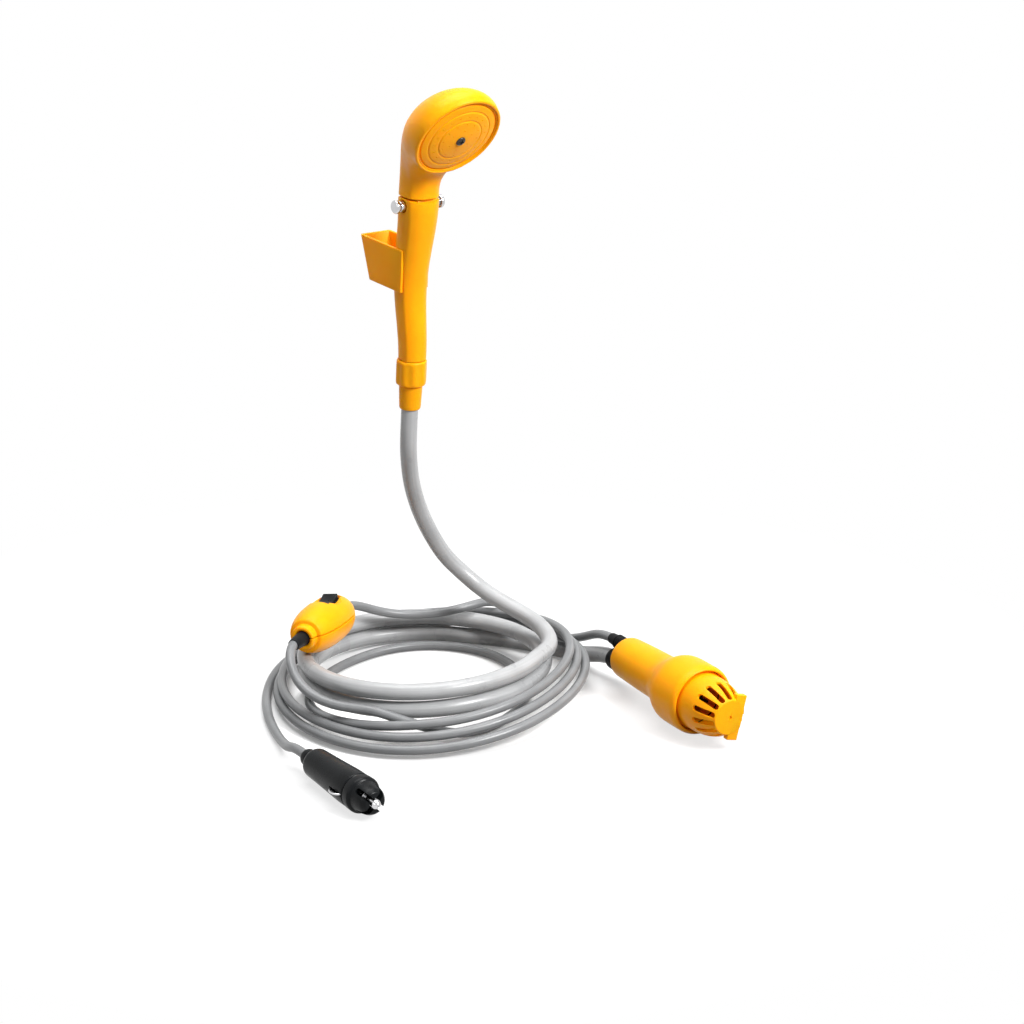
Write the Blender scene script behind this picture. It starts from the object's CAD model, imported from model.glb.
# Camp shower pump set: an orange spray handset on a grey hose, a submersible pump,
# and a grey cable with a rocker switch and a 12 V plug. Shapes are in millimetres in
# their own group's frame, and each group's place brings them to metres in the set's frame.
import math

import bmesh
import bpy
from mathutils import Matrix, Vector


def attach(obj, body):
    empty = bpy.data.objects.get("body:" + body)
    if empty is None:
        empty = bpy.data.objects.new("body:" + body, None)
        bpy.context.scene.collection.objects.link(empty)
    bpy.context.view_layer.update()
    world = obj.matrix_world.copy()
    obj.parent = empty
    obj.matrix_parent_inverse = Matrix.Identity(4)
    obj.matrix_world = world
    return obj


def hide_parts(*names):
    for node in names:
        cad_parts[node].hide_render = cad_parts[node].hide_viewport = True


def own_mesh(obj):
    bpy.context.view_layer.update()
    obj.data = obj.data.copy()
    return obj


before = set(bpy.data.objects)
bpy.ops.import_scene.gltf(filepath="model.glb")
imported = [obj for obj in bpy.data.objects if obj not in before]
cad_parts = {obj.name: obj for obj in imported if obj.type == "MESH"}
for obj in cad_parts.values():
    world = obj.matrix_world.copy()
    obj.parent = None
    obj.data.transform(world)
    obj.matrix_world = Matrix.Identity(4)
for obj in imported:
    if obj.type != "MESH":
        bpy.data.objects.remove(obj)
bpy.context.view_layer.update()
scene = bpy.context.scene

# The studio: a long lens a little above the coil, a broad soft lamp overhead, a key lamp
# from the upper right and a weak fill from the left, over a white floor that keeps only
# a faint shadow.
scene.view_settings.view_transform = "Standard"


def put(name, data):
    """An object of the scene made of this mesh, lamp or camera."""
    item = bpy.data.objects.new(name, data)
    scene.collection.objects.link(item)
    return item


camera = put("camera", bpy.data.cameras.new("camera"))
camera.location = (-0.02235, -1.2744, 0.5358)
camera.rotation_euler = (math.radians(72), 0, 0)
camera.data.lens = 81.21
camera.data.sensor_width = 36
camera.data.clip_end = 100
scene.camera = camera


def lamp(name, at, aim, size, watts):
    """A square soft lamp at a point, turned towards another."""
    light = bpy.data.lights.new(name, "AREA")
    light.size = size
    light.energy = watts
    body = put(name, light)
    body.location = at
    body.rotation_euler = (Vector(aim) - Vector(at)).to_track_quat("-Z", "Y").to_euler()


lamp("overhead_lamp", (-0.05, 0.1, 1.5), (-0.03, 0, 0.1), 1.2, 28)
lamp("key_lamp", (1.05, -0.75, 1.15), (-0.03, 0, 0.15), 0.5, 40)
lamp("fill_lamp", (-1.2, -0.9, 0.7), (-0.03, 0, 0.15), 0.9, 2.5)


def add_node(tree, kind, inputs=None, **settings):
    """A node with its settings, and its inputs set to a value or joined to a socket."""
    node = tree.nodes.new(kind)
    for key, value in settings.items():
        setattr(node, key, value)
    for key, value in (inputs or {}).items():
        if isinstance(value, bpy.types.NodeSocket):
            tree.links.new(value, node.inputs[key])
        else:
            node.inputs[key].default_value = value
    return node


def maths(tree, kind, a, b):
    return add_node(tree, "ShaderNodeMath", {0: a, 1: b}, operation=kind).outputs[0]


def ranged(tree, value, start, end, low=0.0, high=1.0):
    """A value spread from low to high while it goes from start to end, and held past both."""
    return add_node(tree, "ShaderNodeMapRange", {"Value": value, "From Min": start, "From Max": end,
                                                 "To Min": low, "To Max": high}).outputs[0]


def seen_directly(tree):
    """One for camera, mirror and glass rays, nought for the rays that light the object."""
    ray = add_node(tree, "ShaderNodeLightPath").outputs
    mirror = maths(tree, "MAXIMUM", ray["Is Glossy Ray"], ray["Is Transmission Ray"])
    return maths(tree, "MAXIMUM", ray["Is Camera Ray"], mirror)


world = bpy.data.worlds.new("studio")
world.use_nodes = True
scene.world = world
sky = world.node_tree
sky.nodes.clear()
white = (1, 1, 1, 1)
soft_light = add_node(sky, "ShaderNodeBackground", {"Color": white, "Strength": 0.22})
white_wall = add_node(sky, "ShaderNodeBackground", {"Color": white, "Strength": 1.0})
sky_mix = add_node(sky, "ShaderNodeMixShader", {0: seen_directly(sky), 1: soft_light.outputs[0],
                                               2: white_wall.outputs[0]})
add_node(sky, "ShaderNodeOutputWorld", {"Surface": sky_mix.outputs[0]})

floor_reach = 9
floor_height = -0.0002
floor_mesh = bpy.data.meshes.new("floor")
floor_mesh.from_pydata([(x * floor_reach, y * floor_reach, floor_height)
                        for x, y in ((-1, -1), (1, -1), (1, 1), (-1, 1))], [], [(0, 1, 2, 3)])
floor = put("floor", floor_mesh)
paper = bpy.data.materials.new("white_paper")
paper.use_nodes = True
tree = paper.node_tree
tree.nodes.clear()
# The paper keeps most of its shadow under the coil, and is plain white well away from it.
coil_middle = (-0.075, 0.027, 0)
where = add_node(tree, "ShaderNodeTexCoord")
from_coil = add_node(tree, "ShaderNodeVectorMath", {0: where.outputs["Object"], 1: coil_middle},
                     operation="DISTANCE").outputs["Value"]
near = ranged(tree, from_coil, 0.095, 0.13, 0.15, 0.72)
far = ranged(tree, from_coil, 0.16, 0.4, 0.0, 0.28)
seen = seen_directly(tree)
share = maths(tree, "MULTIPLY", maths(tree, "ADD", near, far), seen)
matt = add_node(tree, "ShaderNodeBsdfDiffuse", {"Color": ranged(tree, seen, 0.0, 1.0, 0.25, 0.92)})
glow = add_node(tree, "ShaderNodeEmission", {"Color": white, "Strength": 1.0})
blend = add_node(tree, "ShaderNodeMixShader", {0: share, 1: matt.outputs[0], 2: glow.outputs[0]})
add_node(tree, "ShaderNodeOutputMaterial", {"Surface": blend.outputs[0]})
floor_mesh.materials.append(paper)

# The hose: grey vinyl tube, 10 mm across, extruded in one length. It is pushed on the pump's
# outlet spigot, lies in not quite two turns on the ground, and rises to the barb below
# the handset, where a ferrule grips it.


def turn(x=0, y=0, z=0):
    """Turned about x, then y, then z, in degrees."""
    return (Matrix.Rotation(math.radians(z), 4, "Z") @ Matrix.Rotation(math.radians(y), 4, "Y")
            @ Matrix.Rotation(math.radians(x), 4, "X"))


coil_place = Matrix.Scale(0.001, 4) @ Matrix.Translation((-74.85, 33.6, 0))
handset_place = coil_place @ Matrix.Translation((-7.7, 6, 173.4)) @ turn(y=5, z=-52)
pump_place = coil_place @ Matrix.Translation((121.5, -6, 21)) @ turn(z=-60)
outlet_height = -5.5
hose_width = 0.01


def in_set(place, *points):
    """Points of a group brought into the set's frame."""
    return [place @ Vector(p) for p in points]


def led_on(points, lead, end):
    """A point a little past one end of a wound run, straight on."""
    a, b = (points[0], points[1]) if end == 0 else (points[-1], points[-2])
    return a + (a - b).normalized() * lead


def smooth_run(stations, step=0.003):
    """Points every step along a smooth curve that follows a route's points."""
    ends = [stations[0] * 2 - stations[1]] + stations + [stations[-1] * 2 - stations[-2]]
    run = []
    for a, b, c, d in zip(ends, ends[1:], ends[2:], ends[3:]):
        t1 = (b - a).length ** 0.5
        t2 = t1 + (c - b).length ** 0.5
        t3 = t2 + (d - c).length ** 0.5
        count = max(1, round((c - b).length / step))
        for k in range(count):
            t = t1 + (t2 - t1) * k / count
            ab = a * ((t1 - t) / t1) + b * (t / t1)
            bc = b * ((t2 - t) / (t2 - t1)) + c * ((t - t1) / (t2 - t1))
            cd = c * ((t3 - t) / (t3 - t2)) + d * ((t - t2) / (t3 - t2))
            abc = ab * ((t2 - t) / t2) + bc * (t / t2)
            bcd = bc * ((t3 - t) / (t3 - t1)) + cd * ((t - t1) / (t3 - t1))
            run.append(abc * ((t2 - t) / (t2 - t1)) + bcd * ((t - t1) / (t2 - t1)))
    run.append(stations[-1])
    for _ in range(4):
        run = run[:1] + [b * 0.5 + (a + c) * 0.25 for a, b, c in zip(run, run[1:], run[2:])] + run[-1:]
    return run


def tube(name, run, radius, sides, finish):
    """A round tube along a run, with a map of the turn round it and the metres along it."""
    along = [(run[min(i + 1, len(run) - 1)] - run[max(i - 1, 0)]).normalized() for i in range(len(run))]
    normal = along[0].orthogonal().normalized()
    points, far = [], [0.0]
    for i, p in enumerate(run):
        normal = (normal - along[i] * normal.dot(along[i])).normalized()
        side = along[i].cross(normal)
        if i:
            far.append(far[-1] + (p - run[i - 1]).length)
        for k in range(sides):
            a = 2 * math.pi * k / sides
            points.append(p + (normal * math.cos(a) + side * math.sin(a)) * radius)
    faces, spots = [], []
    for i in range(len(run) - 1):
        for k in range(sides):
            j = (k + 1) % sides
            faces.append((i * sides + k, i * sides + j, (i + 1) * sides + j, (i + 1) * sides + k))
            spots += [(k / sides, far[i]), ((k + 1) / sides, far[i]),
                      ((k + 1) / sides, far[i + 1]), (k / sides, far[i + 1])]
    last = (len(run) - 1) * sides
    faces += [tuple(range(sides - 1, -1, -1)), tuple(range(last, last + sides))]
    spots += [(0.5, far[0])] * sides + [(0.5, far[-1])] * sides
    mesh = bpy.data.meshes.new(name)
    mesh.from_pydata(points, [], faces)
    for loop, spot in zip(mesh.uv_layers.new(name="run").data, spots):
        loop.uv = spot
    mesh.polygons.foreach_set("use_smooth", [len(f) == 4 for f in faces])
    mesh.materials.append(finish)
    return put(name, mesh)


def new_finish(name):
    """A new finish, its node tree, its skin, and the coordinates that its patterns follow."""
    finish = bpy.data.materials.new(name)
    finish.use_nodes = True
    tree = finish.node_tree
    return finish, tree, tree.nodes["Principled BSDF"], add_node(tree, "ShaderNodeTexCoord").outputs


def noise(tree, where, scale, detail, **more):
    return add_node(tree, "ShaderNodeTexNoise", {"Vector": where, "Scale": scale, "Detail": detail,
                                                 **more}).outputs["Fac"]


def surfaced(tree, skin, tones, tone, gloss, relief, strength, depth):
    """A skin whose colour drifts between two tones, with an uneven gloss and a fine relief."""
    colour = add_node(tree, "ShaderNodeMix", {"Factor": tone, 6: tones[0], 7: tones[1]}, data_type="RGBA")
    bump = add_node(tree, "ShaderNodeBump", {"Height": relief, "Strength": strength, "Distance": depth})
    tree.links.new(colour.outputs[2], skin.inputs["Base Color"])
    tree.links.new(gloss, skin.inputs["Roughness"])
    tree.links.new(bump.outputs[0], skin.inputs["Normal"])


def vinyl(name, pale, dark, rough):
    """Extruded grey vinyl: faint die lines along it, slow clouding, and a soft uneven gloss."""
    finish, tree, skin, where = new_finish(name)
    stretch = add_node(tree, "ShaderNodeMapping", {"Vector": where["UV"], "Scale": (26, 9, 1)})
    lines = noise(tree, stretch.outputs[0], 1.0, 3.0)
    cloud = noise(tree, where["Object"], 55.0, 4.0)
    tone = ranged(tree, maths(tree, "MULTIPLY", lines, cloud), 0.12, 0.42)
    gloss = ranged(tree, cloud, 0.3, 0.7, *rough)
    relief = maths(tree, "ADD", noise(tree, where["Object"], 900.0, 2.0), lines)
    surfaced(tree, skin, (dark, pale), tone, gloss, relief, 0.12, 0.0006)
    skin.inputs["Specular IOR Level"].default_value = 0.4
    return finish


def laid(radius, degrees, height):
    """A point of a coil: a little narrower than round, and slumped towards the front."""
    narrowing = 0.975
    most_slump = 11
    slump_aside = math.radians(25)
    a = math.radians(degrees)
    slump = most_slump * ((1 - math.sin(a + slump_aside)) / 2) ** 1.5
    return narrowing * radius * math.cos(a), radius * math.sin(a) - slump, height


hose_finish = vinyl("grey_vinyl_hose", (0.4, 0.404, 0.408, 1), (0.31, 0.314, 0.318, 1), (0.24, 0.36))
coil_radius = 74
coil_start = 70
coil_end = 700
turn_climb = 11
front_lift = 4
hose_turns = in_set(coil_place, *[
    laid(coil_radius, a, 5 + turn_climb * (a - coil_start) / 360
         + front_lift * (1 - math.sin(math.radians(a)))) for a in range(coil_start, coil_end + 1, 15)])
hose_route = (in_set(pump_place, (0, 0, outlet_height), (-15, 0, outlet_height))
              + in_set(coil_place, (106, 20.5, 12), (96.5, 33, 7.1), (84, 44.5, 5.4), (69, 54, 5.2),
                       (52, 61.5, 5.2))
              + [led_on(hose_turns, hose_width, 0)] + hose_turns + [led_on(hose_turns, hose_width, 1)]
              + in_set(coil_place, (74.85, -9.3, 29.15), (74.95, 1.7, 29.75), (72, 12.4, 31.1),
                       (66.4, 22, 33), (58.6, 30, 35.4), (49, 36.5, 38.8), (38.8, 41.6, 43.4),
                       (29, 44.8, 50), (20, 45.6, 58.3), (11.3, 43, 68.3), (2.2, 36, 86.2),
                       (-4, 27.3, 104.4), (-7.7, 18.5, 122.4), (-8.9, 11.8, 138))
              + in_set(handset_place, (0, 0, -24), (0, 0, 12)))
hose_run = smooth_run(hose_route)
hose = tube("hose", hose_run, hose_width / 2, 24, hose_finish)
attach(hose, "set")
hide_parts("hose_rise", "hose_coil", "hose_tail")

# The ferrule and the coupling nut: orange ABS. The ferrule is pressed over the hose end,
# and the nut, with eight soft flats for the fingers, screws on the handle's stub.


def moulded(name, deep, pale, rough, grain, depth, metal=0.0, through=0.0, shine=0.5):
    """A moulded or drawn finish: its tone drifts, its gloss varies and a fine grain breaks the shine."""
    finish, tree, skin, where = new_finish(name)
    tone = ranged(tree, noise(tree, where["Object"], 38.0, 4.0, Roughness=0.6), 0.3, 0.7)
    gloss = ranged(tree, noise(tree, where["Object"], 190.0, 5.0, Distortion=0.6), 0.3, 0.75, *rough)
    surfaced(tree, skin, (deep, pale), tone, gloss, noise(tree, where["Object"], grain, 3.0), 0.2, depth)
    skin.inputs["Metallic"].default_value = metal
    skin.inputs["Specular IOR Level"].default_value = shine
    if through:
        skin.inputs["Subsurface Weight"].default_value = through
        skin.inputs["Subsurface Radius"].default_value = (1.0, 0.22, 0.03)
        skin.inputs["Subsurface Scale"].default_value = 0.004
    return finish


orange_abs = moulded("orange_abs", (0.95, 0.335, 0.001, 1), (0.98, 0.385, 0.002, 1), (0.3, 0.46), 1500.0,
                     0.00025, through=0.35, shine=0.12)


def creased(mesh, degrees=38):
    """Smooth faces, with a sharp edge wherever two meet at more than these degrees."""
    mesh.polygons.foreach_set("use_smooth", [True] * len(mesh.polygons))
    mesh.set_sharp_from_angle(angle=math.radians(degrees))


def solid(name, points, faces, place, finish, crease):
    """A piece from points in its group's frame, with its doubles merged and its faces turned outwards."""
    mesh = bpy.data.meshes.new(name)
    mesh.from_pydata(points, [], faces)
    form = bmesh.new()
    form.from_mesh(mesh)
    bmesh.ops.remove_doubles(form, verts=form.verts, dist=1e-4)
    bmesh.ops.dissolve_degenerate(form, edges=form.edges, dist=1e-5)
    bmesh.ops.recalc_face_normals(form, faces=form.faces)
    form.to_mesh(mesh)
    form.free()
    mesh.transform(place)
    creased(mesh, crease)
    mesh.materials.append(finish)
    return put(name, mesh)


def lofted(name, rings, place, finish, endless=False, crease=38):
    """Skin over rings of equal count, closed at both ends, or joined end to end."""
    sides = len(rings[0])
    points = [p for ring in rings for p in ring]
    rows = len(rings) if endless else len(rings) - 1
    faces = []
    for i in range(rows):
        a, b = i * sides, (i + 1) % len(rings) * sides
        faces += [(a + k, a + (k + 1) % sides, b + (k + 1) % sides, b + k) for k in range(sides)]
    if not endless:
        last = (len(rings) - 1) * sides
        faces += [tuple(range(sides - 1, -1, -1)), tuple(range(last, last + sides))]
    return solid(name, points, faces, place, finish, crease)


def rounded(corners, steps=4):
    """Outline points, with each corner that names a fillet rounded by it."""
    out = []
    for i, corner in enumerate(corners):
        p = Vector(corner[:2])
        if len(corner) < 3 or i in (0, len(corners) - 1):
            out.append(p)
            continue
        a, b = Vector(corners[i - 1][:2]), Vector(corners[i + 1][:2])
        start = p + (a - p).normalized() * min(corner[2], (a - p).length * 0.49)
        end = p + (b - p).normalized() * min(corner[2], (b - p).length * 0.49)
        for k in range(steps + 1):
            t = k / steps
            out.append(start * (1 - t) ** 2 + p * (2 * t * (1 - t)) + end * t * t)
    return out


def turned(name, corners, place, finish, sides=72, ring=False):
    """A turned form about its x axis from corners of (x, radius, fillet). A ring has a bore."""
    rings = [[(x, r * math.cos(2 * math.pi * k / sides), r * math.sin(2 * math.pi * k / sides))
              for k in range(sides)] for x, r in rounded(corners)]
    return lofted(name, rings, place, finish, endless=ring)


upright = handset_place @ turn(y=-90)
ferrule = turned("ferrule", [(0.3, 5.0), (0, 6.1, 0.5), (1.4, 6.4, 0.6), (11, 6.85, 2), (14.7, 6.9, 0.6),
                             (14.7, 5.0)], upright, orange_abs, ring=True)
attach(ferrule, "set")
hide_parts("hose_ferrule")

flats = 8
flat_depth = 0.32
nut_sides = 96
nut_rings = []
for height, radius, flat in [(15, 3.8, 0), (15, 7.6, 0), (15.15, 8.2, 0), (15.6, 8.75, 0.3), (16.4, 9.0, 0.8),
                             (17.6, 9.1, 1), (27.2, 9.1, 1), (28.4, 9.05, 0.6), (29.4, 8.9, 0.1),
                             (30.0, 8.6, 0), (30.3, 8.1, 0), (30.3, 7.6, 0), (17, 7.6, 0), (17, 3.8, 0)]:
    ring = []
    for k in range(nut_sides):
        a = 2 * math.pi * k / nut_sides
        r = radius - flat_depth * flat * (1 + math.cos(flats * a))
        ring.append((r * math.cos(a), r * math.sin(a), height))
    nut_rings.append(ring)
nut = lofted("coupling_nut", nut_rings, handset_place, orange_abs, endless=True)
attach(nut, "nut")
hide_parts("hose_nut")

# The handle: a hollow orange ABS grip, moulded in one piece. Its front is a broad flat arc
# between two long soft edges, its back is rounder, and it bows back in the middle. Its top ends
# in a flat shoulder, and the knuckle that the head turns on stands up from it.


def joined(name, pieces):
    """Several closed forms kept as one piece."""
    form = bmesh.new()
    for piece in pieces:
        form.from_mesh(piece.data)
    mesh = pieces[0].data
    form.to_mesh(mesh)
    form.free()
    creased(mesh)
    for piece in pieces[1:]:
        bpy.data.objects.remove(piece)
    pieces[0].name = name
    return pieces[0]


def settled(piece):
    """A piece's modifiers made part of its plain mesh."""
    mesh = bpy.data.meshes.new_from_object(piece.evaluated_get(bpy.context.evaluated_depsgraph_get()))
    piece.modifiers.clear()
    piece.data = mesh
    creased(mesh)
    return piece


def carved(piece, *cutters):
    """A piece with the closed forms in cutters cut out of it."""
    for cutter in cutters:
        cut = piece.modifiers.new("cut", "BOOLEAN")
        cut.object = cutter
        cut.solver = "EXACT"
    settled(piece)
    for cutter in cutters:
        bpy.data.objects.remove(cutter)
    return piece


grip_half = rounded([(0.97, 0), (0.95, 0.27), (0.885, 0.46), (0.76, 0.66), (0.55, 0.88, 0.12),
                     (0.02, 0.93, 0.3), (-0.52, 0.85, 0.3), (-0.85, 0.54, 0.3), (-0.98, 0.2, 0.15),
                     (-1.0, 0)])
grip_outline = grip_half + [Vector((p.x, -p.y)) for p in reversed(grip_half[1:-1])]
round_outline = [p.normalized() for p in grip_outline]
grip_foot = 30.6
grip_length = 91
foot_radius = 8.2
grip_bow = 4.6
shoulder = 125
shoulder_dip = 1.4
pivot_height = 123.1
handle_rings = [(20.6, 7.1, 0), (grip_foot, 7.1, 0), (grip_foot, 7.8, 1), (30.9, foot_radius, 1)]
handle_rings += [(grip_foot + grip_length * k / 24, foot_radius + 3.5 * (k / 24) ** 1.2, 1)
                 for k in range(1, 25)]
handle_rings += [(126.8, 11.7, 1), (127.3, 11.6, 1), (127.6, 11.2, 1)]
rings = []
for height, radius, flat in handle_rings:
    back = -grip_bow * math.sin(math.pi * min(max((height - grip_foot) / grip_length, 0), 1)) ** 2
    dip = shoulder_dip if height > shoulder else 0
    rings.append([((q.x + (p.x - q.x) * flat) * radius + back, (q.y + (p.y - q.y) * flat) * radius,
                   height - dip * p.x * p.x) for p, q in zip(grip_outline, round_outline)])
across = handset_place @ Matrix.Translation((0, 0, pivot_height)) @ turn(z=90)
handle = lofted("grip", rings, handset_place, orange_abs)
carved(handle, *[turned("knob_hole", [(s * 8.6, 0), (s * 8.6, 3.9), (s * 20, 3.9), (s * 20, 0)], across,
                        orange_abs, sides=40) for s in (-1, 1)])
knuckle = turned("knuckle", [(-6.4, 0), (-6.4, 9.5, 0.4), (6.4, 9.5, 0.4), (6.4, 0)], across, orange_abs)
handle = joined("grip", [handle, knuckle])
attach(handle, "set")
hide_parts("handle")

# The bracket: an orange ABS loop behind the grip, open at top and foot, that hooks over a
# hanger. Its far wall is the shorter one, and two studs on its inside faces snap into the
# handle's sides.


def softened(piece, width, segments, degrees):
    """A piece with its sharp edges rounded off."""
    edge = piece.modifiers.new("edge", "BEVEL")
    edge.width = width
    edge.segments = segments
    edge.limit_method = "ANGLE"
    edge.angle_limit = math.radians(degrees)
    return settled(piece)


near_wall_end = 0.8
far_wall_end = -1.6
inner_half = 9
outer_half = 10.7
back_wall = 1.7
bracket_rings = []
for height, back in [(71.9, -31.5), (74.5, -32.5), (84.4, -36.5), (94.3, -40.5), (96.9, -41.5)]:
    front = back + back_wall
    outer = rounded([(far_wall_end, outer_half), (back, outer_half, 2), (back, -outer_half, 2),
                     (near_wall_end, -outer_half)], 6)
    inner = rounded([(near_wall_end, -inner_half), (front, -inner_half, 1), (front, inner_half, 1),
                     (far_wall_end, inner_half)], 6)
    bracket_rings.append([(p.x, p.y, height) for p in outer + inner])
bracket = softened(lofted("hook_bracket", bracket_rings, handset_place, orange_abs), 0.0004, 3, 50)
at_studs = handset_place @ Matrix.Translation((-4.2, 0, 84.4)) @ turn(z=90)
studs = [turned("stud", [(s * 7.3, 0), (s * 7.3, 2.5, 0.4), (s * 9.3, 2.5), (s * 9.3, 0)], at_studs,
                orange_abs) for s in (-1, 1)]
bracket = joined("hook_bracket", [bracket] + studs)
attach(bracket, "set")
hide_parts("bracket")

# The spray head: an orange ABS shell, a round rim that runs back into a thick neck with the same
# soft edges as the grip. The foot of the neck is hollow and sits over the handle's knuckle, so
# the head can nod on the pivot pin.
face_tilt = 31
face_middle = Vector((34.5, 169.1))
head_place = handset_place @ Matrix.Translation((face_middle.x, 0, face_middle.y)) @ turn(y=90 + face_tilt)
# Each station has its back point, its front point, both as (forward, up), its half width and its edge.
head_stations = [(-11.6, 128.6, 11.6, 128.6, 11.6, 1), (-11.4, 134, 11.6, 131.4, 11.5, 1),
                 (-10.8, 142, 12, 134, 11.8, 0.95), (-9.6, 150, 12.6, 136.4, 12.6, 0.85),
                 (-7.4, 158, 13.4, 138.7, 14.2, 0.7), (-3.8, 166.5, 14.3, 140.6, 16.4, 0.5),
                 (1.4, 175, 15.3, 142.2, 18.8, 0.3), (8, 182.5, 16.3, 143.5, 21.2, 0.15),
                 (16, 188.8, 17.3, 144.5, 23.4, 0.05), (25, 193.6, 18.2, 145.2, 25.2, 0),
                 (33.5, 196.2, 19, 145.7, 26.3, 0), (40.5, 196.6, 19.7, 146, 26.9, 0),
                 (45.5, 195, 20.3, 146.1, 27.1, 0), (48.4, 192.2, 20.6, 146, 27, 0)]


def head_ring(bx, bz, fx, fz, half, flat):
    """A ring of the head, between a circle and the grip's outline."""
    ring = []
    for p, q in zip(grip_outline, round_outline):
        w = q + (p - q) * flat
        ring.append(((bx + fx) / 2 + (fx - bx) / 2 * w.x, half * w.y, (bz + fz) / 2 + (fz - bz) / 2 * w.x))
    return ring


rings = [head_ring(-11.2, 128.4, 11.2, 128.4, 11.2, 1)]
padded = [head_stations[0]] + head_stations + [head_stations[-1]]
for a, b, c, d in zip(padded, padded[1:], padded[2:], padded[3:]):
    for k in range(4):
        t = k / 4
        rings.append(head_ring(*[0.5 * (2 * q + (r - p) * t + (2 * p - 5 * q + 4 * r - s) * t * t
                                        + (3 * q - p - 3 * r + s) * t ** 3)
                                 for p, q, r, s in zip(a, b, c, d)]))
up = Vector((math.sin(math.radians(face_tilt)), math.cos(math.radians(face_tilt))))
out = Vector((0.857, -0.515))
for depth, radius in [(0.5, 26.9), (0.9, 26.6), (1.1, 26.1), (1.1, 25.6), (0.8, 25.2), (-0.4, 25.1),
                      (-5, 25)]:
    back = face_middle + out * depth + up * radius
    front = face_middle + out * depth - up * radius
    rings.append(head_ring(back.x, back.y, front.x, front.y, radius, 0))
head = lofted("spray_head", rings, handset_place, orange_abs)
carved(head, turned("knuckle_room", [(-6.8, 0), (-6.8, 9.9), (6.8, 9.9), (6.8, 0)], across, orange_abs))
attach(head, "head")
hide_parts("head_shell")

# The face plate: an orange ABS disc, slightly domed, with a groove near its edge, two shallow
# steps and three rings of spray holes moulded through. It snaps into the rim of the head.


def grown(piece, tree, finish, **sizes):
    """A piece passed through a node tree whose inputs take these sizes."""
    step = piece.modifiers.new("grown", "NODES")
    step.node_group = tree
    for item in tree.interface.items_tree:
        if item.in_out == "INPUT" and item.name in sizes:
            step[item.identifier] = sizes[item.name]
        if item.in_out == "INPUT" and item.name == "finish":
            step[item.identifier] = finish
    return settled(piece)


def new_tree(name, **sizes):
    """A node tree that takes a form, a finish and named sizes, with its input node."""
    tree = bpy.data.node_groups.new(name, "GeometryNodeTree")
    tree.interface.new_socket("form", in_out="INPUT", socket_type="NodeSocketGeometry")
    for key, value in sizes.items():
        kind = "NodeSocketInt" if isinstance(value, int) else "NodeSocketFloat"
        tree.interface.new_socket(key, in_out="INPUT", socket_type=kind).default_value = value
    tree.interface.new_socket("finish", in_out="INPUT", socket_type="NodeSocketMaterial")
    tree.interface.new_socket("form", in_out="OUTPUT", socket_type="NodeSocketGeometry")
    return tree, tree.nodes.new("NodeGroupInput").outputs


def close_tree(tree, form, finish):
    """Ends a tree in real faces with their finish."""
    real = add_node(tree, "GeometryNodeRealizeInstances", {0: form})
    dressed = add_node(tree, "GeometryNodeSetMaterial", {"Geometry": real.outputs[0], "Material": finish})
    add_node(tree, "NodeGroupOutput", {0: dressed.outputs[0]})


def ringed(tree, shape, x, z, count, phase, axis):
    """A shape set out from the middle and repeated evenly about the x or z axis."""
    place = add_node(tree, "ShaderNodeCombineXYZ", {"X": x, "Z": z})
    first = add_node(tree, "GeometryNodeTransform", {"Geometry": shape, "Translation": place.outputs[0]})
    dots = add_node(tree, "GeometryNodeMeshLine", {"Count": count, "Offset": (0, 0, 0)})
    number = add_node(tree, "GeometryNodeInputIndex").outputs[0]
    angle = maths(tree, "DIVIDE", maths(tree, "MULTIPLY", number, 2 * math.pi), count)
    way = add_node(tree, "ShaderNodeCombineXYZ", {axis: maths(tree, "ADD", angle, phase)})
    many = add_node(tree, "GeometryNodeInstanceOnPoints", {
        "Points": dots.outputs[0], "Instance": first.outputs[0], "Rotation": way.outputs[0]})
    return add_node(tree, "GeometryNodeRealizeInstances", {0: many.outputs[0]}).outputs[0]


def cut_tree(tree, given, cutters):
    """Ends a tree that cuts shapes out of its form."""
    left = add_node(tree, "GeometryNodeMeshBoolean", {"Mesh 1": given["form"], "Mesh 2": cutters},
                    operation="DIFFERENCE", solver="EXACT")
    close_tree(tree, left.outputs[0], given["finish"])


hole_tree, given = new_tree("ring_of_holes", count=6, ring_radius=8.0, hole_radius=0.8, low=-4.0, high=6.0)
drill_length = maths(hole_tree, "SUBTRACT", given["high"], given["low"])
drill = add_node(hole_tree, "GeometryNodeMeshCylinder", {
    "Vertices": 14, "Radius": given["hole_radius"], "Depth": drill_length})
middle = maths(hole_tree, "MULTIPLY", maths(hole_tree, "ADD", given["high"], given["low"]), 0.5)
drills = ringed(hole_tree, drill.outputs[0], given["ring_radius"], middle, given["count"], 0.0, "Z")
cut_tree(hole_tree, given, drills)

face = turned("spray_plate", [(-3, 0), (-3, 24.9), (0.5, 24.9, 0.3), (0.6, 24.5, 0.2), (-0.5, 24.2, 0.2),
                              (-0.5, 23.7, 0.2), (0.5, 23.3, 0.4), (1.2, 19.9, 0.5), (0.9, 19.5, 0.2),
                              (1.0, 19.0, 0.2), (1.5, 18.6, 0.4), (2.2, 14.2, 0.5), (1.9, 13.8, 0.2),
                              (2.0, 13.3, 0.2), (2.5, 12.9, 0.4), (3.4, 4.4, 1), (3.4, 0)],
              Matrix.Identity(4), orange_abs, sides=96)
face.data.transform(turn(y=-90))
for holes, ring_radius in [(6, 7.0), (12, 11.4), (18, 16.2)]:
    grown(face, hole_tree, orange_abs, count=holes, ring_radius=ring_radius, hole_radius=0.36)
face.data.transform(head_place)
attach(face, "head")
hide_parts("face_plate")

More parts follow.
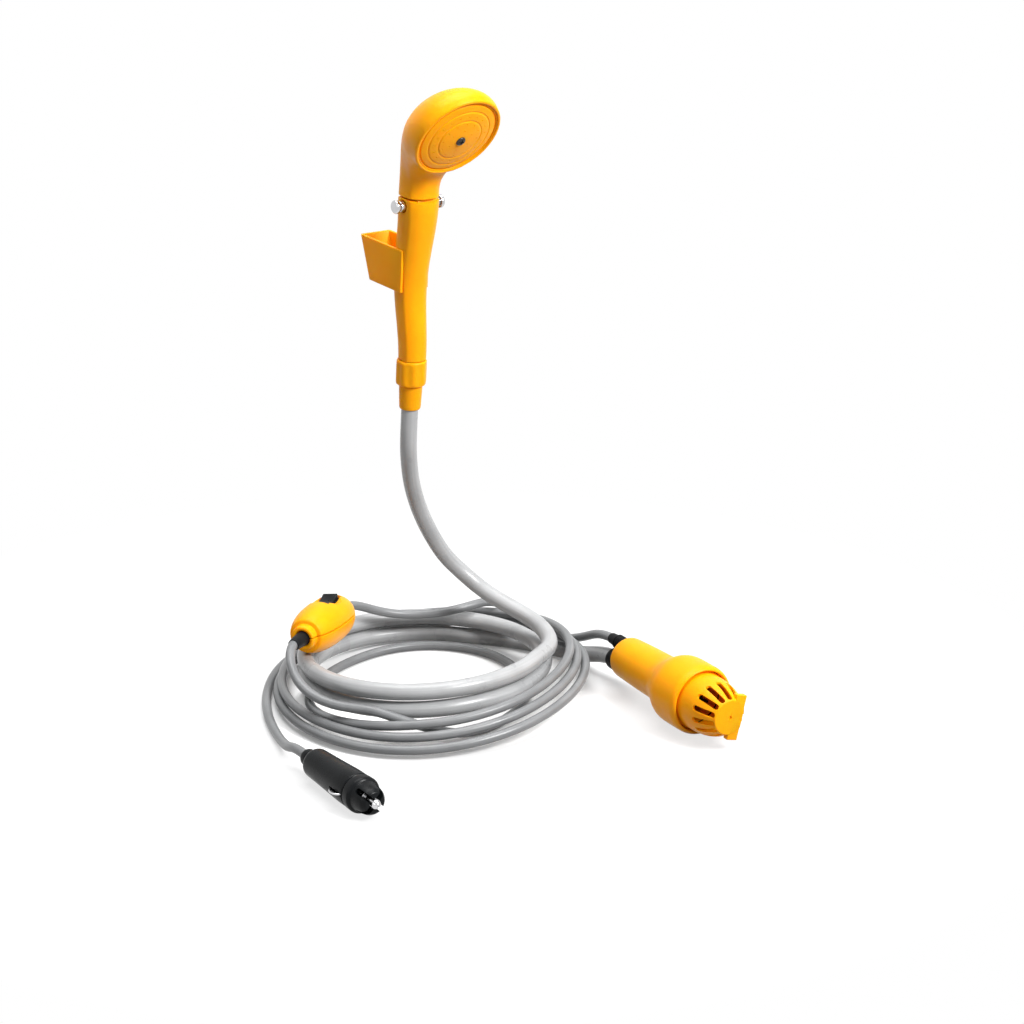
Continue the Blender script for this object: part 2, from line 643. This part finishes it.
# The face screw: a blackened steel pan head with a cross recess, in the middle of the plate. Its
# shank runs through the plate into the head, and holds the plate down.
dark_steel = moulded("blackened_steel", (0.03, 0.028, 0.026, 1), (0.09, 0.08, 0.07, 1), (0.25, 0.5), 2400.0,
                     0.0001, metal=0.85)
face_turn = head_place @ turn(y=-90)
face_screw = turned("plate_screw", [(-15, 0), (-15, 1.3), (3.3, 1.3), (3.3, 2.9, 0.2), (4.1, 2.8, 0.6),
                                    (4.6, 1.6, 0.6), (4.6, 0)], face_turn, dark_steel, sides=36)


def block(name, low, high, place, finish, edge=0.0):
    """A box between two corners with its edges eased."""
    form = bmesh.new()
    bmesh.ops.create_cube(form, size=1)
    low, high = Vector(low), Vector(high)
    for v in form.verts:
        v.co = Vector(low[i] + (v.co[i] + 0.5) * (high[i] - low[i]) for i in range(3))
    if edge:
        bmesh.ops.bevel(form, geom=form.edges[:], offset=edge, segments=3, affect="EDGES", profile=0.5)
    mesh = bpy.data.meshes.new(name)
    form.to_mesh(mesh)
    form.free()
    mesh.transform(place)
    creased(mesh)
    mesh.materials.append(finish)
    return put(name, mesh)


carved(face_screw, block("cross_a", (-1.7, -0.4, 3.7), (1.7, 0.4, 6), head_place, dark_steel),
       block("cross_b", (-0.4, -1.7, 3.7), (0.4, 1.7, 6), head_place, dark_steel))
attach(face_screw, "head")
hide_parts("face_screw")

# The pivot knobs: chromed steel, turned, one at each end of the pivot pin. Each has a bright
# disc on a short stub that comes out of a round hole in the handle's side.
chrome = moulded("bright_chrome", (0.5, 0.5, 0.51, 1), (0.62, 0.62, 0.63, 1), (0.05, 0.12), 1800.0, 0.00004,
                 metal=1.0)
knobs = joined("chrome_knobs", [
    turned("knob", [(s * 8.7, 0), (s * 8.7, 3.2), (s * 13.2, 3.1, 0.4), (s * 13.5, 1.9, 0.1),
                    (s * 14.2, 1.9, 0.1), (s * 14.4, 3.8, 0.3), (s * 16.0, 4.0, 0.5), (s * 16.8, 3.2, 0.6),
                    (s * 16.8, 0)], across, chrome, sides=48) for s in (-1, 1)])
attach(knobs, "head")
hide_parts("pivot_knobs")

# The pump body: orange ABS, a barrel round the motor that flares to a collar round the
# impeller. Hose and cable enter through its rounded rear end.
pump_body = turned("pump_housing", [
    (0, 0), (0, 12.6, 3.4), (20, 13.5, 6), (40, 14, 5), (46, 14.7, 4), (51, 16.9, 3), (55, 19.3, 3),
    (59, 20.7, 3), (63, 21, 3), (78.6, 21, 1.6), (81, 20.2, 1.2), (82, 19.2, 0.5), (81.8, 18.5, 0.3),
    (78, 18.2), (74, 18.2), (74, 16.8), (64, 16.8), (52, 12), (3, 12), (3, 0)],
    pump_place, orange_abs, sides=96)
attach(pump_body, "set")
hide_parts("pump_body")

# The strainer: orange ABS, a thin dome with fourteen slots. Its front is a flat disc, squared off
# at one side by a foot plate with two corners, so the pump can stand on it. Its skirt pushes into
# the collar, and pulls out to clear the impeller of sand.
slot_tree, given = new_tree("ring_of_slots", count=16, start=88.0, length=10.0, width=2.4, floor=6.0,
                            top=20.0, phase=0.0)
flat = add_node(slot_tree, "GeometryNodeCurvePrimitiveQuadrilateral", {"Width": given["length"],
                                                                      "Height": given["width"]})
soft = add_node(slot_tree, "GeometryNodeFilletCurve", {
    "Curve": flat.outputs[0], "Count": 5, "Radius": maths(slot_tree, "MULTIPLY", given["width"], 0.48)},
    mode="POLY")
foot_face = add_node(slot_tree, "GeometryNodeFillCurve", {"Curve": soft.outputs[0]}, mode="NGONS")
rise = maths(slot_tree, "SUBTRACT", given["top"], given["floor"])
wall = add_node(slot_tree, "GeometryNodeExtrudeMesh", {"Mesh": foot_face.outputs[0], "Offset": (0, 0, 1),
                                                      "Offset Scale": rise, "Individual": False})
under = add_node(slot_tree, "GeometryNodeFlipFaces", {"Mesh": foot_face.outputs[0]})
shut = add_node(slot_tree, "GeometryNodeJoinGeometry", {0: wall.outputs[0]})
slot_tree.links.new(under.outputs[0], shut.inputs[0])
knit = add_node(slot_tree, "GeometryNodeMergeByDistance", {"Geometry": shut.outputs[0], "Distance": 0.001})
slot_x = maths(slot_tree, "ADD", given["start"], maths(slot_tree, "MULTIPLY", given["length"], 0.5))
cutters = ringed(slot_tree, knit.outputs[0], slot_x, given["floor"], given["count"], given["phase"], "X")
cut_tree(slot_tree, given, cutters)

foot_roll = turn(x=-14)
strainer = turned("strainer_dome", [
    (107.6, 0), (107.6, 9.2, 0.4), (104, 11.8, 1), (99, 14.0, 1.5), (93, 15.2, 1.5), (84, 15.5, 1),
    (76, 15.5), (76, 17.8), (79.4, 17.8, 0.3), (79.6, 17.0, 0.2), (86, 17.0, 1.5), (91, 16.75, 2),
    (96, 15.95, 2), (100.5, 14.6, 2), (104.6, 12.8, 1.5), (107.6, 11.1, 1), (109, 10.3, 0.5), (109, 0)],
    Matrix.Identity(4), orange_abs, sides=96)
grown(strainer, slot_tree, orange_abs, count=14, start=94.2, length=14.2, width=3.2, floor=8.6, top=20.0,
      phase=math.radians(-3.34))
carved(strainer, block("square_side", (104.8, 8.6, -20), (111, 20, 20), foot_roll, orange_abs),
       turned("dot", [(108.2, 0), (108.2, 1.1), (111, 1.1), (111, 0)], foot_roll, orange_abs, sides=24))
strainer.data.transform(pump_place)
foot_plate = block("foot_plate", (105, 1.6, -13.5), (108.9, 8.6, 13.5), foot_roll, orange_abs, 0.5)
foot_plate.data.transform(pump_place)
strainer = joined("strainer_dome", [strainer, foot_plate])
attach(strainer, "strainer")
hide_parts("strainer")

# The hose cuff and the cable gland: black rubber. The cuff is a short sleeve over the hose on
# its spigot, and the ribbed gland is moulded on the cable and pulled into the rear wall.
black_rubber = moulded("black_rubber", (0.002, 0.0022, 0.0025, 1), (0.006, 0.0065, 0.007, 1), (0.4, 0.6),
                       1300.0, 0.0003, shine=0.12)
at_outlet = pump_place @ Matrix.Translation((0, 0, outlet_height))
cuff = turned("outlet_cuff", [(-14, 5.0), (-14, 6.2, 0.5), (-12, 6.8, 0.6), (-1, 6.8, 0.4), (0.6, 7.2, 0.3),
                            (0.6, 5.0)], at_outlet, black_rubber, sides=48, ring=True)
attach(cuff, "set")
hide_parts("hose_cuff")

rib_tree, given = new_tree("row_of_ribs", count=5, first=-9.0, pitch=2.0, radius=4.0, thickness=0.5)
hoop, bead = [add_node(rib_tree, "GeometryNodeCurvePrimitiveCircle",
                       {"Resolution": count, "Radius": given[key]}, mode="RADIUS").outputs[0]
              for count, key in ((40, "radius"), (10, "thickness"))]
rib = add_node(rib_tree, "GeometryNodeCurveToMesh", {"Curve": hoop, "Profile Curve": bead})
rib_up = add_node(rib_tree, "GeometryNodeTransform", {"Geometry": rib.outputs[0],
                                                     "Rotation": (0, math.pi / 2, 0)})
first, pitch = [add_node(rib_tree, "ShaderNodeCombineXYZ", {"X": given[key]}).outputs[0]
                for key in ("first", "pitch")]
row = add_node(rib_tree, "GeometryNodeMeshLine", {"Count": given["count"], "Start Location": first,
                                                 "Offset": pitch})
ribs = add_node(rib_tree, "GeometryNodeInstanceOnPoints", {"Points": row.outputs[0],
                                                          "Instance": rib_up.outputs[0]})
ribbed = add_node(rib_tree, "GeometryNodeJoinGeometry", {0: ribs.outputs[0]})
rib_tree.links.new(given["form"], ribbed.inputs[0])
close_tree(rib_tree, ribbed.outputs[0], given["finish"])

gland = turned("ribbed_gland", [(-16, 2.8), (-16, 3.3, 0.2), (-9.5, 3.8, 1), (0.5, 4.1), (0.5, 2.8)],
               Matrix.Identity(4), black_rubber, sides=40, ring=True)
grown(gland, rib_tree, black_rubber, count=5, first=-8.6, pitch=2.0, radius=4.0, thickness=0.55)
gland_height = 6.5
gland.data.transform(pump_place @ Matrix.Translation((0, 0, gland_height)))
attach(gland, "set")
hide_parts("cable_gland")

# The switch housing: two orange ABS half shells in the shape of an egg, held by two screws from
# below. The parting line runs along both sides, and a notch in the upper half takes the rocker.
switch_place = coil_place @ Matrix.Translation((-71.6, -33.4, 42.8)) @ turn(y=2, z=70) @ turn(x=-8)


def egg(x):
    """The egg's radius along its length: it is blunter at its far end."""
    widest = 32.45
    near_length = 33.45
    far_length = 27.55
    radius = 14.5
    u = (x - widest) / (near_length if x < widest else far_length)
    return radius * max(1 - abs(u) ** 2.5, 0) ** 0.4


def half_shell(name, side):
    """One half of the egg, cut along its parting line."""
    parting = 0.38
    corners = [(3.0, 0), (3.0, 4.5, 0.3), (0.5, 4.8, 0.4), (0, 5.7, 0.5), (0.2, 7.2, 0.8), (4.2, 7.8, 0.6),
               (5.0, 7.8, 0.3)]
    corners += [(x, egg(x), 2) for x in (5.2, 6.4, 8, 10, 13, 17, 21, 25, 29, 33, 37, 41, 45, 48.5, 52, 55,
                                         57, 58.2)]
    corners += [(58.9, 3.6, 0.6), (59, 0)]
    shell = turned(name, corners, Matrix.Identity(4), orange_abs, sides=88)
    form = bmesh.new()
    form.from_mesh(shell.data)
    cut = bmesh.ops.bisect_plane(form, geom=form.verts[:] + form.edges[:] + form.faces[:], dist=1e-4,
                                 plane_co=(0, 0, side * parting), plane_no=(0, 0, -side), clear_outer=True)
    rim = [e for e in cut["geom_cut"] if isinstance(e, bmesh.types.BMEdge)]
    bmesh.ops.contextual_create(form, geom=rim)
    bmesh.ops.recalc_face_normals(form, faces=form.faces)
    form.to_mesh(shell.data)
    form.free()
    softened(shell, 0.45, 2, 60)
    shell.data.transform(switch_place)
    return shell


switch_top = half_shell("switch_upper_half", 1)
carved(switch_top, block("rocker_notch", (27.8, -6.4, 2.2), (47.7, 6.4, 18), switch_place, orange_abs),
       turned("thumb_scoop", [(-20, 0), (-20, 12), (20, 12), (20, 0)],
              switch_place @ Matrix.Translation((37.8, 0, 22.4)) @ turn(z=90), orange_abs, sides=96))
switch_bottom = half_shell("switch_lower_half", -1)
carved(switch_bottom, *[turned("screw_well", [(-14, 0), (-14, 2.3), (-5, 2.3), (-5, 0)],
                               switch_place @ Matrix.Translation((x, 0, 0)) @ turn(y=-90), orange_abs,
                               sides=28) for x in (16, 53)])
for half, node in ((switch_top, "switch_top"), (switch_bottom, "switch_bottom")):
    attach(half, "set")
    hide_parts(node)

# The rocker: black ABS, a lever with a hollow in its top, on two stub pins in a black frame that
# is glued into the notch.
black_plastic = moulded("black_abs", (0.002, 0.0024, 0.0028, 1), (0.006, 0.007, 0.008, 1), (0.24, 0.4),
                        1700.0, 0.0002, shine=0.12)
rocker_pivot = switch_place @ Matrix.Translation((37.76, 0, 10))
rocker_place = rocker_pivot @ turn(y=-8)
rocker_reach = 8
rocker_rings = []
for y, ease in [(-5, 0.5), (-4.8, 0.2), (-4.4, 0), (4.4, 0), (4.8, 0.2), (5, 0.5)]:
    end = rocker_reach - ease
    top = [(-end + 2 * end * k / 12, 1.5 + 1.7 * abs(k / 6 - 1) ** 1.6 - ease) for k in range(13)]
    low = [(end, -0.6), (2.8, -3), (-2.8, -3), (-end, -0.6)]
    rocker_rings.append([(x, y, z) for x, z in top + low])
rocker = lofted("rocker_lever", rocker_rings, rocker_place, black_plastic, crease=45)
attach(rocker, "rocker")
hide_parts("rocker")
rocker_frame = block("rocker_well", (28, -6.2, 2.6), (47.5, 6.2, 11), switch_place, black_plastic, 0.4)
carved(rocker_frame, block("well", (29, -5.25, 4), (46.5, 5.25, 14), switch_place, black_plastic),
       turned("pin_bore", [(-6, 0), (-6, 1.5), (6, 1.5), (6, 0)], rocker_pivot @ turn(z=90), black_plastic,
              sides=24))
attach(rocker_frame, "set")
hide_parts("rocker_frame")

# The cable boots: black rubber sleeves, moulded on the cable, that taper away from both ends of
# the switch and keep the cable from kinking.
boot_near = turned("near_boot", [(-12, 2.8), (-12, 3.4, 0.3), (-8, 3.9, 1), (-1, 4.3, 1), (3.4, 4.4),
                                 (3.4, 2.8)], switch_place, black_rubber, sides=40, ring=True)
boot_far = turned("far_boot", [(65, 2.8), (65, 3.4, 0.3), (62, 3.9, 0.8), (58.4, 4.2), (58.4, 2.8)],
                  switch_place, black_rubber, sides=40, ring=True)
for boot, node in ((boot_near, "boot_near"), (boot_far, "boot_far")):
    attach(boot, "set")
    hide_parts(node)

# The plug: black ABS, a tapered barrel with a ring at its rear, a nose ring that unscrews to
# change the fuse, four claws round a sprung tip, and two spring steel bows at its sides.
plug_place = coil_place @ Matrix.Translation((-61.5, -130, 10.5)) @ turn(z=-56)
plug_collar = turned("plug_relief", [(0, 2.8), (0, 4.2, 0.5), (1.6, 5.0, 0.8), (5, 5.0, 0.8), (6.4, 4.4, 0.6),
                                     (8.4, 4.4), (8.4, 2.8)], plug_place, black_plastic, sides=48, ring=True)
plug_barrel = turned("plug_shell", [
    (8, 0), (8, 6.6, 1.6), (10.4, 8.5, 1.6), (30, 9.3, 6), (47, 10.2, 3), (55.2, 10.2, 0.5), (55.9, 9.5, 0.3),
    (55.9, 0)], plug_place, black_plastic, sides=80)
carved(plug_barrel, *[block("bow_slot", (42.5, min(s * 3.4, s * 12), -0.9), (55.1, max(s * 3.4, s * 12), 0.9),
                            plug_place, black_plastic) for s in (-1, 1)])
plug_nose = turned("plug_claws", [
    (56.3, 4.6), (56.3, 9.6, 0.3), (57, 10.4, 0.4), (61.6, 10.5, 0.6), (62.8, 9.6, 0.5), (63.2, 8.9, 0.4),
    (68, 8.4, 1), (71.5, 7.7, 1), (74, 6.0, 0.8), (74, 3.2), (67, 3.2), (67, 4.6)], Matrix.Identity(4),
    black_plastic, sides=80, ring=True)
grown(plug_nose, slot_tree, black_plastic, count=4, start=65.0, length=12.0, width=3.2, floor=2.6, top=14.0,
      phase=math.radians(45))
plug_nose.data.transform(plug_place)
plug_tip = turned("plug_point", [(65, 0), (65, 4.1, 0.2), (66.6, 4.1, 0.2), (66.6, 2.8), (75.6, 2.8, 0.5),
                               (77.4, 1.7, 0.6), (78, 0.9, 0.2), (77.2, 0.5), (77.2, 0)], plug_place, chrome,
                  sides=40)
for piece, node, body, slot_name in ((plug_collar, "plug_collar", "set", "black_plastic"),
                                     (plug_barrel, "plug_barrel", "set", "black_plastic"),
                                     (plug_nose, "plug_nose", "nose", "black_plastic"),
                                     (plug_tip, "plug_tip", "tip", "chrome")):
    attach(piece, body)
    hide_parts(node)

bow_middle = 48.8
bow_depth = 7.2
bow_radius = 5.4
for side, letter in ((1, "a"), (-1, "b")):
    arc = []
    for a in [math.radians(degrees) for degrees in range(-95, 96, 5)]:
        arc.append((bow_middle + bow_radius * math.sin(a), side * (bow_depth + bow_radius * math.cos(a)), 0))
    bow = tube("side_contact_" + letter + "_bow", in_set(plug_place, *arc), 0.00058, 10, chrome)
    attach(bow, "contact_" + letter)
    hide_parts("side_contact_" + letter)

spring_steel = moulded("spring_steel", (0.5, 0.5, 0.52, 1), (0.62, 0.62, 0.63, 1), (0.2, 0.35), 2000.0,
                       0.00006, metal=1.0)
spring_foot = 54.45
spring_length = 10.1
spring_radius = 2.2
coils = []
for k in range(129):
    a = k * math.pi / 16
    coils.append((spring_foot + spring_length * k / 128, spring_radius * math.cos(a),
                  spring_radius * math.sin(a)))
tip_spring = tube("tip_spring_wire", in_set(plug_place, *coils), 0.0004, 10, spring_steel)
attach(tip_spring, "set")
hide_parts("tip_spring")
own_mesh(tip_spring)

# The cable: two-core grey vinyl flex, 5.6 mm across. One length runs from the pump's gland to the
# far end of the switch. The other leaves the near end, lies in three and a half turns round the
# hose, and ends in the plug.
cable_finish = vinyl("grey_vinyl_cable", (0.212, 0.216, 0.22, 1), (0.145, 0.149, 0.153, 1), (0.28, 0.42))
cable_width = 0.0056


def eased(a, b, x):
    """Nought up to a and one from b on, with a soft change between them."""
    u = min(max((x - a) / (b - a), 0), 1)
    return u * u * (3 - 2 * u)


def cable_turn(t):
    """A point of the cable's coil after t turns."""
    ground = 3
    first_lie = 22
    lie_fall = 5.488
    right_hump = 13
    first_ring = 82.5
    ring_spread = 4.4
    most_inset = 26
    drop = eased(0.18, 0.32, t) * (1 - eased(1, 1.26, t))
    inset = most_inset * eased(0.18, 0.6, t) * (1 - eased(0.86, 1.22, t))
    pull = 1.9 * t * max(math.cos(2 * math.pi * t + math.radians(10)), 0)
    ring = first_ring + ring_spread * t + 0.8 * eased(0.8, 1.2, t) - inset - pull + 1.3 * eased(3.2, 3.7, t)
    lie = max(first_lie - lie_fall * t, ground) + right_hump * ((1 - math.cos(2 * math.pi * t)) / 2) ** 3
    return Vector(laid(ring, 180 + 360 * t, lie + (ground - lie) * drop)) - Vector((0, t, 0))


cable_turns = in_set(coil_place, *[cable_turn(i / 24) for i in range(5, 90)])
plug_cable_route = (in_set(switch_place, (6, 0, 0), (-14, 0, 0))
                    + in_set(coil_place, (-76, -60.5, 37.5), (-70.5, -70.5, 30), (-60.5, -78.5, 24.5),
                             (-47.5, -84, 21.5))
                    + [led_on(cable_turns, cable_width, 0)] + cable_turns
                    + [led_on(cable_turns, cable_width, 1)]
                    + in_set(coil_place, (9, 97, 4), (-7, 98.2, 3.2), (-23, 96, 3), (-39, 89.5, 3),
                             (-54, 79, 3), (-68, 65.2, 3), (-79.5, 48.5, 3), (-88, 30, 3), (-93, 10, 3),
                             (-94.8, -11, 3), (-94, -32, 3), (-91, -53, 3), (-86, -73, 3), (-80, -91.5, 3.8),
                             (-74, -108, 6.5))
                    + in_set(plug_place, (-14, 0, 0), (12, 0, 0)))
plug_cable_run = smooth_run(plug_cable_route)
plug_cable = tube("plug_cable", plug_cable_run, cable_width / 2, 16, cable_finish)
pump_cable_route = (in_set(pump_place, (10, 0, gland_height), (-18, 0, gland_height))
                    + in_set(coil_place, (105, 24, 24), (97, 38.5, 16.5), (88.5, 54, 9.5), (80, 69, 5.6),
                             (70, 81, 7), (58.5, 86.5, 13.5), (47, 84, 21.3), (37, 77, 25.9), (27, 69.5, 26),
                             (16, 63.5, 25), (4.5, 60, 24.2), (-6, 58.2, 24), (-16, 56, 24.8),
                             (-26, 52.5, 27.2), (-35, 47.5, 31.3), (-42.5, 41, 36))
                    + in_set(switch_place, (67, 0, 0), (56, 0, 0)))
pump_cable_run = smooth_run(pump_cable_route)
pump_cable = tube("pump_cable", pump_cable_run, cable_width / 2, 16, cable_finish)
for cable, nodes in ((plug_cable, ("cable_lead", "cable_coil", "cable_plug_run")),
                     (pump_cable, ("cable_pump_run",))):
    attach(cable, "set")
    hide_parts(*nodes)

# The inner works: barb, spigot, seals, motor and switch parts, which show only where a piece is
# opened or drawn out. Each keeps its turned or pressed form and gets its own finish.
brass = moulded("turned_brass", (0.55, 0.36, 0.12, 1), (0.7, 0.48, 0.18, 1), (0.2, 0.4), 1600.0, 0.0001,
                metal=1.0)
copper = moulded("wound_copper", (0.35, 0.12, 0.04, 1), (0.5, 0.19, 0.07, 1), (0.3, 0.5), 900.0, 0.0006,
                 metal=0.7)
ferrite = moulded("grey_ferrite", (0.03, 0.03, 0.033, 1), (0.06, 0.06, 0.064, 1), (0.5, 0.7), 1200.0, 0.0004)
white_nylon = moulded("white_nylon", (0.66, 0.66, 0.62, 1), (0.74, 0.74, 0.7, 1), (0.35, 0.5), 1400.0, 0.0002)
fuse_glass = moulded("fuse_glass", (0.55, 0.6, 0.6, 1), (0.65, 0.7, 0.7, 1), (0.05, 0.15), 1400.0, 0.00005)
for finish, nodes in ((spring_steel, ("pivot_pin", "motor_can", "motor_shaft", "switch_screws")),
                      (black_rubber, ("hose_washer", "face_seal", "pivot_seals", "strainer_seal",
                                      "shaft_seal")),
                      (black_plastic, ("motor_end_cap", "impeller")),
                      (ferrite, ("motor_magnets",)),
                      (copper, ("armature",)),
                      (brass, ("shaft_bushes", "switch_contacts")),
                      (white_nylon, ("hose_barb", "outlet_spigot")),
                      (fuse_glass, ("fuse",))):
    for node in nodes:
        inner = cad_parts[node]
        inner.data.materials.clear()
        inner.data.materials.append(finish)
